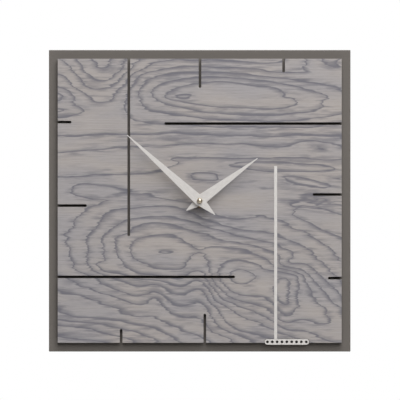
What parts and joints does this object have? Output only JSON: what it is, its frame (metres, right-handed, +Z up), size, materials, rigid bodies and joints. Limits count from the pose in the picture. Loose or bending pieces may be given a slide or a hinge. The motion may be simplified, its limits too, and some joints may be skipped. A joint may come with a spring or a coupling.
{
  "type": "wall clock",
  "caption": "Square wall clock with a slotted grey veneer face on a plain board, kite-shaped hands and a battery quartz movement hung from a keyhole plate.",
  "frame": {"origin": "centre of the keyhole's round hole, on the wall side face of the hanger plate and back board", "axes": "+Z up, +X to the viewer's right, +Y into the wall; the face looks towards -Y"},
  "size_m": [0.3, 0.0392, 0.3],
  "materials": {
    "board_lacquer": "satin lacquer over a dense fibre board",
    "grey_veneer": "grey stained wood veneer, satin",
    "pale_strip": "off-white satin",
    "hand_coating": "off-white satin coating with a fine brushed texture",
    "bright_brass": "turned",
    "polished_nut": "polished",
    "zinc_plate": "zinc plated",
    "black_rubber": "matte",
    "black_plastic": "fine moulded texture",
    "natural_plastic": "natural white moulding",
    "magnet_grey": "sintered",
    "stator_steel": "stamped sheet",
    "copper_wire": "enamelled",
    "green_laminate": "solder mask",
    "black_epoxy": "matte",
    "bright_can": "drawn can",
    "spring_steel": "plated",
    "cell_can": "plated can",
    "cell_label": "plain shrink sleeve"
  },
  "bodies": {
    "clock": {"back_board": "board_lacquer", "face_panel": "grey_veneer", "light_strip": "pale_strip", "hanger_plate": "zinc_plate", "hanger_screws": "zinc_plate", "wall_bumpers": "black_rubber", "movement_case": "black_plastic", "movement_cover": "black_plastic", "centre_tube": "bright_brass", "rubber_washer": "black_rubber", "centre_nut": "bright_brass", "train_plate": "natural_plastic", "train_plate_screws": "zinc_plate", "stator": "stator_steel", "coil_core": "stator_steel", "coil_bobbin": "natural_plastic", "coil_winding": "copper_wire", "circuit_board": "green_laminate", "circuit_chip": "black_epoxy", "quartz_crystal": "bright_can", "terminal_positive": "spring_steel", "terminal_negative": "spring_steel"},
    "minute_hand_group": {"minute_arbor": "natural_plastic", "clutch_spring": "spring_steel", "minute_hand": "hand_coating", "minute_hand_collet": "bright_brass", "cap_nut": "polished_nut"},
    "hour_hand_group": {"hour_wheel": "natural_plastic", "hour_hand": "hand_coating", "hour_hand_collet": "bright_brass"},
    "motion_group": {"motion_wheel": "natural_plastic"},
    "setting_group": {"setting_shaft": "natural_plastic", "setting_knob": "natural_plastic"},
    "rotor_group": {"rotor_pinion": "natural_plastic", "rotor_magnet": "magnet_grey"},
    "intermediate_group": {"intermediate_wheel": "natural_plastic"},
    "seconds_group": {"seconds_wheel": "natural_plastic"},
    "third_group": {"third_wheel": "natural_plastic"},
    "centre_group": {"centre_wheel": "natural_plastic"},
    "battery": {"battery_cell": "cell_can", "battery_sleeve": "cell_label"}
  },
  "joints": [
    {"name": "minute_turn", "type": "hinge", "parent": "clock", "child": "minute_hand_group", "pos_m": [0, 0, -0.105], "axis": [0, 1, 0], "continuous": true},
    {"name": "hour_turn", "type": "hinge", "parent": "clock", "child": "hour_hand_group", "pos_m": [0, 0, -0.105], "axis": [0, 1, 0], "continuous": true},
    {"name": "motion_turn", "type": "hinge", "parent": "clock", "child": "motion_group", "pos_m": [-0.00779, 0, -0.1005], "axis": [0, 1, 0], "continuous": true},
    {"name": "setting_turn", "type": "hinge", "parent": "clock", "child": "setting_group", "pos_m": [-0.0152, 0, -0.09623], "axis": [0, 1, 0], "continuous": true},
    {"name": "rotor_turn", "type": "hinge", "parent": "clock", "child": "rotor_group", "pos_m": [0.0115, 0, -0.1], "axis": [0, 1, 0], "continuous": true},
    {"name": "intermediate_turn", "type": "hinge", "parent": "clock", "child": "intermediate_group", "pos_m": [0.00749, 0, -0.10467], "axis": [0, 1, 0], "continuous": true},
    {"name": "seconds_turn", "type": "hinge", "parent": "clock", "child": "seconds_group", "pos_m": [0, 0, -0.105], "axis": [0, 1, 0], "continuous": true},
    {"name": "third_turn", "type": "hinge", "parent": "clock", "child": "third_group", "pos_m": [-0.0045, 0, -0.09721], "axis": [0, 1, 0], "continuous": true},
    {"name": "centre_turn", "type": "hinge", "parent": "clock", "child": "centre_group", "pos_m": [0, 0, -0.105], "axis": [0, 1, 0], "continuous": true},
    {"name": "battery_slide", "type": "slide", "parent": "clock", "child": "battery", "axis": [0, 1, 0], "range_m": [0, 0.02]}
  ],
  "couplings": [
    {"joint": "hour_turn", "follows": "minute_turn", "ratio": 0.083333},
    {"joint": "motion_turn", "follows": "minute_turn", "ratio": -0.33333},
    {"joint": "setting_turn", "follows": "minute_turn", "ratio": 1.25},
    {"joint": "intermediate_turn", "follows": "rotor_turn", "ratio": -0.16667},
    {"joint": "seconds_turn", "follows": "rotor_turn", "ratio": 0.033333},
    {"joint": "third_turn", "follows": "rotor_turn", "ratio": -0.0041667},
    {"joint": "centre_turn", "follows": "rotor_turn", "ratio": 0.00055556}
  ]
}
